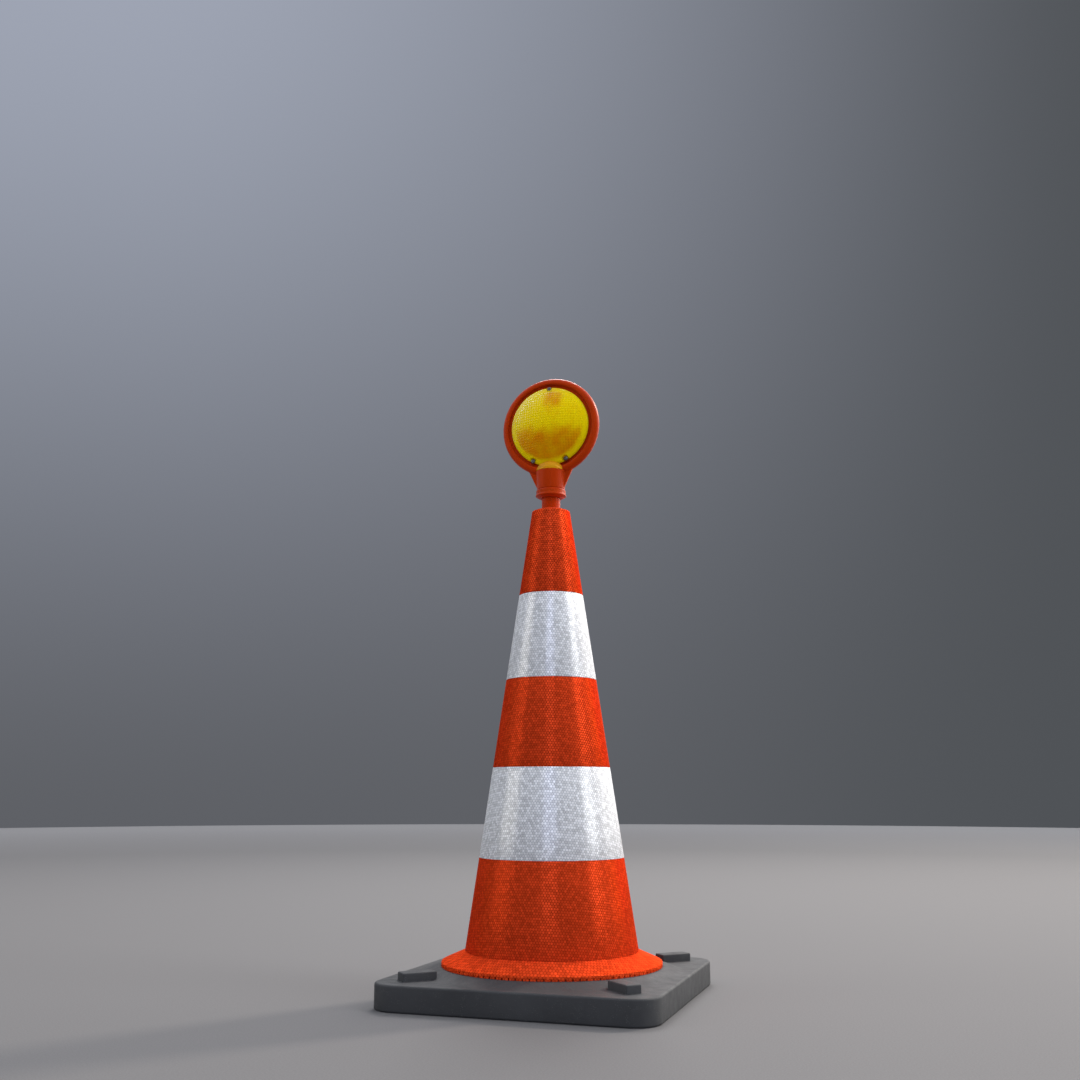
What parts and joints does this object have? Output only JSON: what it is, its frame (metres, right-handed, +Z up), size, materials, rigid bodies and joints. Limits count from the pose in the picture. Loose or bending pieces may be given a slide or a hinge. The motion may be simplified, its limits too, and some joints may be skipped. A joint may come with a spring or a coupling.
{
  "type": "barricade warning light",
  "caption": "Amber two-sided warning light on a battery stem, plugged into the top of a striped reflective traffic cone that stands on a square weighted base.",
  "frame": {"origin": "on the ground under the centre of the square base, on the cone's axis", "axes": "+Z up along the cone's axis; -Y is the way the lamp's front lens faces; X runs along the lamp ring and one side of the base"},
  "size_m": [0.42, 0.42, 0.983],
  "materials": {
    "orange_plastic": "satin moulded, fluorescent red-orange",
    "orange_film": "retroreflective sheeting with a fine honeycomb under a glossy face",
    "white_film": "retroreflective sheeting with a fine honeycomb under a glossy face",
    "base_rubber": "matte, fine grained recycled rubber",
    "bush_rubber": "matte, orange",
    "seal_rubber": "matte, black",
    "amber_lens": "clear yellow-amber, prism grid on the inside",
    "amber_window": "smooth, translucent amber",
    "black_plastic": "fine matte",
    "reflector_plastic": "glossy yellow, moulded",
    "plated_steel": "bright zinc plate",
    "contact_brass": "rolled, bare",
    "circuit_board": "solder mask over glass laminate",
    "cell_jacket": "glossy printed jacket, left plain",
    "red_cable": "smooth insulation"
  },
  "bodies": {
    "cone_stand": {"base_slab": "base_rubber", "cone_shell": "orange_plastic", "orange_band_low": "orange_film", "white_band_low": "white_film", "orange_band_middle": "orange_film", "white_band_high": "white_film", "orange_band_top": "orange_film", "base_screw_1": "plated_steel", "base_screw_2": "plated_steel", "base_screw_3": "plated_steel", "base_screw_4": "plated_steel"},
    "socket": {"socket_bush": "bush_rubber"},
    "lamp": {"lamp_housing": "orange_plastic", "sensor_window": "amber_window", "front_lens": "amber_lens", "rear_lens": "amber_lens", "front_lens_seal": "seal_rubber", "rear_lens_seal": "seal_rubber", "front_reflector": "reflector_plastic", "rear_reflector": "reflector_plastic", "front_led": "amber_lens", "rear_led": "amber_lens", "lens_bolt_top": "plated_steel", "lens_bolt_right": "plated_steel", "lens_bolt_left": "plated_steel", "lens_nut_top": "plated_steel", "lens_nut_right": "plated_steel", "lens_nut_left": "plated_steel", "driver_board": "circuit_board", "led_board": "circuit_board", "flasher_chip": "black_plastic", "timing_capacitor": "black_plastic", "light_sensor": "black_plastic", "switch_body": "black_plastic", "switch_bezel": "black_plastic", "retaining_collar": "orange_plastic", "tube_seal": "seal_rubber", "battery_tube": "orange_plastic", "contact_holder": "black_plastic", "positive_contact": "contact_brass", "battery_cell_1": "cell_jacket", "battery_cell_2": "cell_jacket", "battery_cell_3": "cell_jacket", "negative_strip": "contact_brass", "positive_wire": "red_cable", "negative_wire": "seal_rubber"},
    "battery_door": {"battery_cap": "black_plastic", "cap_seal": "seal_rubber", "cap_contact": "contact_brass", "battery_spring": "plated_steel"},
    "button": {"switch_button": "seal_rubber"}
  },
  "joints": [
    {"name": "lamp_lift", "type": "slide", "parent": "cone_stand", "child": "socket", "axis": [0, 0, 1], "range_m": [0, 0.16]},
    {"name": "lamp_turn", "type": "hinge", "parent": "socket", "child": "lamp", "pos_m": [0, 0, 0.75], "axis": [0, 0, 1], "continuous": true},
    {"name": "cap_turn", "type": "hinge", "parent": "lamp", "child": "battery_door", "pos_m": [0, 0, 0.604], "axis": [0, 0, 1], "range_deg": [0, 90]},
    {"name": "switch_press", "type": "slide", "parent": "lamp", "child": "button", "axis": [0, -1, 0], "range_m": [0, 0.002]}
  ]
}
